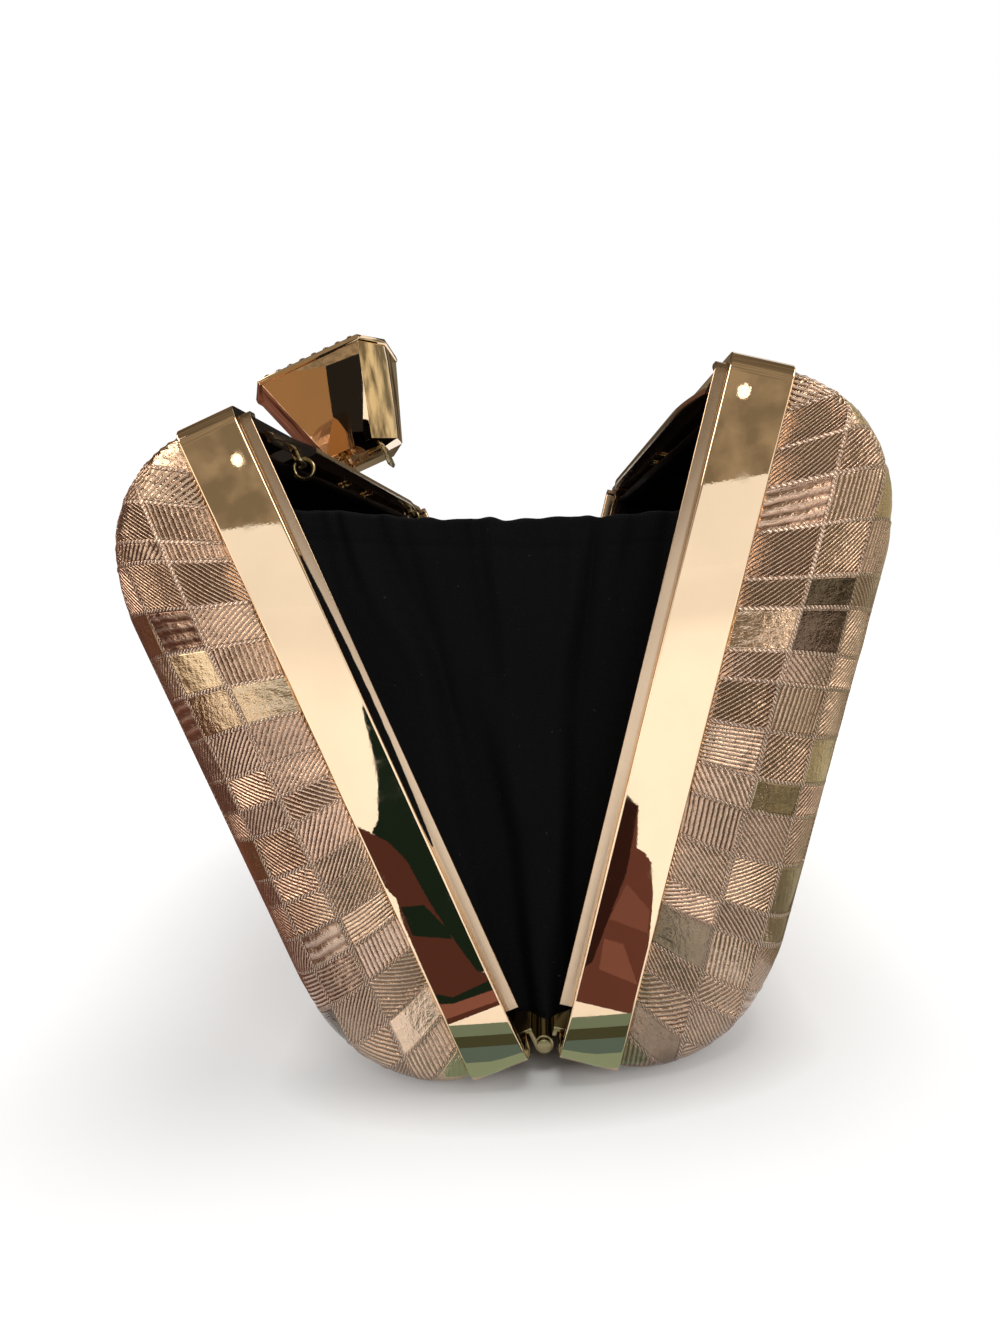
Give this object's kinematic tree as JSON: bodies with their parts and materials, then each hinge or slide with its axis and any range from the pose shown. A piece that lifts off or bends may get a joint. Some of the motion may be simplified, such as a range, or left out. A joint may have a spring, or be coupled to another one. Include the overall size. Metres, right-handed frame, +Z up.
{
  "type": "evening clutch",
  "caption": "Hard-shelled evening clutch with two domed halves on a long hinge, black gussets and a lifting jewelled clasp.",
  "frame": {"origin": "on the floor under the middle of the open clutch's bounding box", "axes": "+Z up as the clutch stands open, Y along the hinge with the near end at -Y, +X towards the half with the catch"},
  "size_m": [0.1158, 0.2, 0.1279],
  "materials": {
    "polished_frame": "mirror-polished pale rose-gold plating",
    "clasp_metal": "mirror-polished rose-gold plating",
    "hinge_metal": "satin plated brass",
    "spring_steel": "plain spring steel",
    "embossed_cover": "metallic rose-gold coated leatherette, embossed in hatched squares",
    "shell_board": "plain moulding, hidden",
    "black_lining": "black satin",
    "gusset_cloth": "matte black gathered cloth",
    "elastic": "flat woven elastic, hidden in its hem",
    "clear_stones": "clear faceted glass stones"
  },
  "bodies": {
    "front_half": {"front_frame": "polished_frame", "front_shell_board": "shell_board", "front_cover": "embossed_cover", "front_lining": "black_lining", "front_hinge_leaf": "hinge_metal", "hinge_pin": "hinge_metal", "front_hinge_rivets": "hinge_metal", "clasp_base": "polished_frame", "clasp_screws": "hinge_metal", "clasp_pivot_pin": "hinge_metal", "clasp_spring": "spring_steel", "near_strap_eyelet": "hinge_metal", "far_strap_eyelet": "hinge_metal", "near_gusset": "gusset_cloth", "far_gusset": "gusset_cloth", "near_gusset_elastic": "elastic", "far_gusset_elastic": "elastic"},
    "back_half": {"back_frame": "polished_frame", "back_shell_board": "shell_board", "back_cover": "embossed_cover", "back_lining": "black_lining", "back_hinge_leaf": "hinge_metal", "back_hinge_rivets": "hinge_metal", "catch_plate": "polished_frame", "catch_rivets": "hinge_metal"},
    "clasp": {"clasp_block": "clasp_metal", "clasp_bezel": "clasp_metal", "clasp_stones": "clear_stones", "clasp_tongue": "hinge_metal"},
    "near_ring": {"near_strap_ring": "hinge_metal"},
    "far_ring": {"far_strap_ring": "hinge_metal"}
  },
  "joints": [
    {"name": "main_hinge", "type": "hinge", "parent": "front_half", "child": "back_half", "pos_m": [0, 0, 0.00292], "axis": [0, -1, 0], "range_deg": [0, 36.5], "deforming": ["near_gusset", "far_gusset", "near_gusset_elastic", "far_gusset_elastic"]},
    {"name": "clasp_lift", "type": "hinge", "parent": "front_half", "child": "clasp", "pos_m": [-0.03795, 0, 0.10012], "axis": [0, -1, 0], "range_deg": [0, 12], "stiffness_Nm_per_rad": 0.08, "springref_deg": -20.05, "deforming": ["clasp_spring"]},
    {"name": "near_ring_swing", "type": "hinge", "parent": "front_half", "child": "near_ring", "pos_m": [-0.0324, -0.068, 0.09448], "axis": [-0.9497, 0, -0.3132], "range_deg": [-60, 60]},
    {"name": "far_ring_swing", "type": "hinge", "parent": "front_half", "child": "far_ring", "pos_m": [-0.0324, 0.068, 0.09448], "axis": [-0.9497, 0, -0.3132], "range_deg": [-60, 60]}
  ]
}
